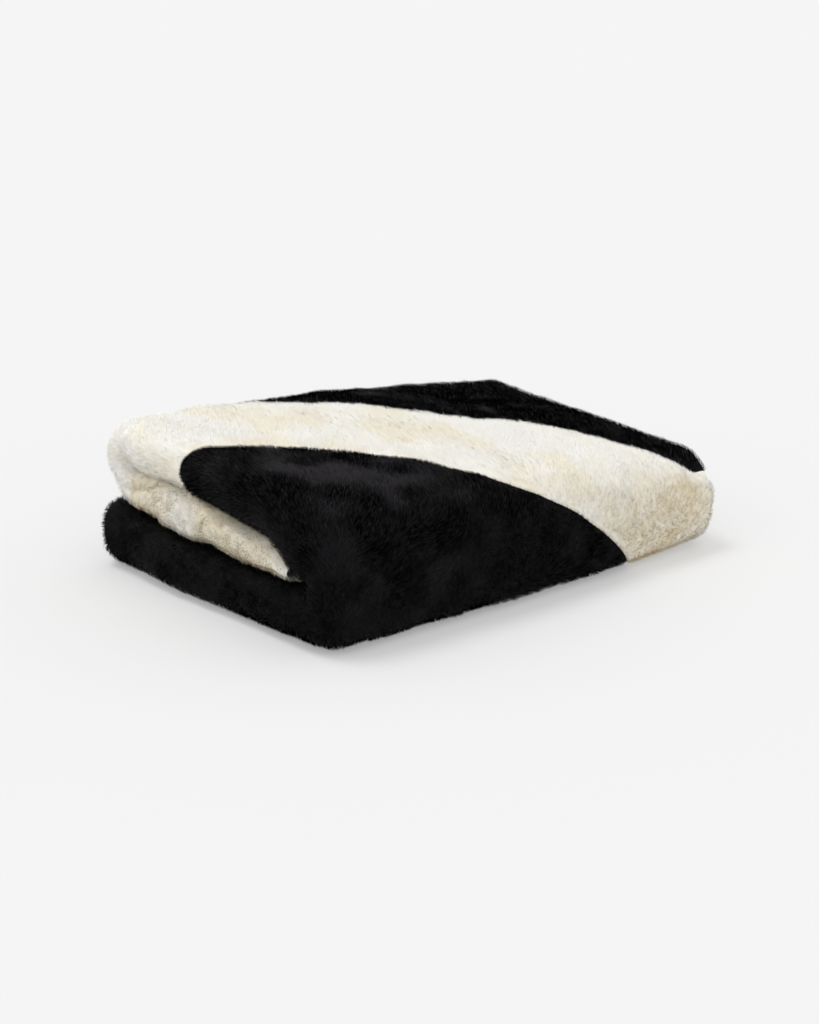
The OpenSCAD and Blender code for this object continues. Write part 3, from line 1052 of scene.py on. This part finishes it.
def add_hem_pile(name, part, colour, grid, normals, way):
    """The pile of one hem."""
    places = scatter(grid, np.where(grid[1:, :, 0] < left_x + LOOSE_END, SHOWN, OPENED))
    row, column = places[:2]
    roots = at_places(grid, *places)
    tone = rng.integers(0, 2, len(row)) + len(black_tones) * cream_hem(colour, roots[:, 0])
    lengths = rng.normal(*HEM_LENGTH, len(row)) * MM
    widths = rng.uniform(*HEM_WIDTH, len(row)) * MM
    pile = add_blades(f"{name}_pile", roots, normals[row, column], way[row, column], lengths,
                      black_tones + cream_tones, tone, widths, part)


add_pile()
for hem in hems:
    add_hem_pile(*hem)

# ---- The cloth pieces' triangles in their plain places ----


def declare_sheet(name, rest, places):
    """Finds the corners of each triangle of a piece in their plain places; nothing more is done with them.
    """
    mesh = made_pieces[name].data
    mesh.calc_loop_triangles()
    corners = np.empty(len(mesh.loop_triangles) * 3, np.int32)
    mesh.loop_triangles.foreach_get("vertices", corners)
    a, b, c = rest[corners.reshape(-1, 3)].transpose(1, 0, 2)


for sheet in sheets:
    declare_sheet(*sheet)

# ---- Camera, light and floor ----

LENS, SENSOR = 72.97, 36  # mm
VIEW_TARGET = np.array([-38.7, -40.4, 60]) * MM
VIEW_FROM, VIEW_DISTANCE = (-40.809, 17.135), 2.0
CLIP_END = 200
ROOM_LIGHT = 0.90
SUN_LIGHT, SUN_WIDTH = 0.95, math.radians(24)
SUN_FROM, SUN_DISTANCE = (-150, 68), 3
FLOOR_HALF = 40.0
FLOOR_TONE, FLOOR_GLOW = 0.52, 0.30


def aim(thing, place, target):
    """Puts a thing at place, turned to look at target."""
    thing.location = place
    forward = unit(np.array(target) - np.array(place))
    thing.rotation_euler = (math.pi / 2 + math.asin(forward[2]), 0, -math.atan2(forward[0], forward[1]))


def sight(azimuth, elevation):
    """The direction from the object to a viewer; azimuth 0 is the front."""
    a, e = math.radians(azimuth), math.radians(elevation)
    return np.array([math.sin(a) * math.cos(e), -math.cos(a) * math.cos(e), math.sin(e)])


def add_camera():
    """A long lens, low over the front left corner."""
    lens = bpy.data.cameras.new("camera")
    lens.lens = LENS
    lens.sensor_width = SENSOR
    lens.clip_end = CLIP_END
    camera = bpy.data.objects.new("camera", lens)
    bpy.context.scene.collection.objects.link(camera)
    aim(camera, VIEW_TARGET + VIEW_DISTANCE * sight(*VIEW_FROM), VIEW_TARGET)
    bpy.context.scene.camera = camera


def add_light():
    """An even white room and a large soft light from high behind on the left."""
    world = bpy.data.worlds.new("studio")
    world.use_nodes = True
    background = world.node_tree.nodes["Background"]
    background.inputs["Color"].default_value = (1, 1, 1, 1)
    background.inputs["Strength"].default_value = ROOM_LIGHT
    bpy.context.scene.world = world
    light = bpy.data.lights.new("soft_top_light", "SUN")
    light.energy = SUN_LIGHT
    light.angle = SUN_WIDTH
    sun = bpy.data.objects.new("soft_top_light", light)
    bpy.context.scene.collection.objects.link(sun)
    aim(sun, sight(*SUN_FROM) * SUN_DISTANCE, (0, 0, 0))


def add_floor():
    """A plain, nearly white floor with a soft shadow."""
    far = FLOOR_HALF
    corners = [(-far, -far, 0), (far, -far, 0), (far, far, 0), (-far, far, 0)]
    floor = mesh_object("floor", corners, [[0, 1, 2, 3]])
    paint, shader = new_material("floor_paint", (FLOOR_TONE,) * 3, 1.0, 0, (1, 1, 1), 0)
    shader.inputs["Emission Color"].default_value = (1, 1, 1, 1)
    shader.inputs["Emission Strength"].default_value = FLOOR_GLOW
    floor.data.materials.append(paint)


add_camera()
add_light()
add_floor()
bpy.context.scene.view_settings.view_transform = "Standard"
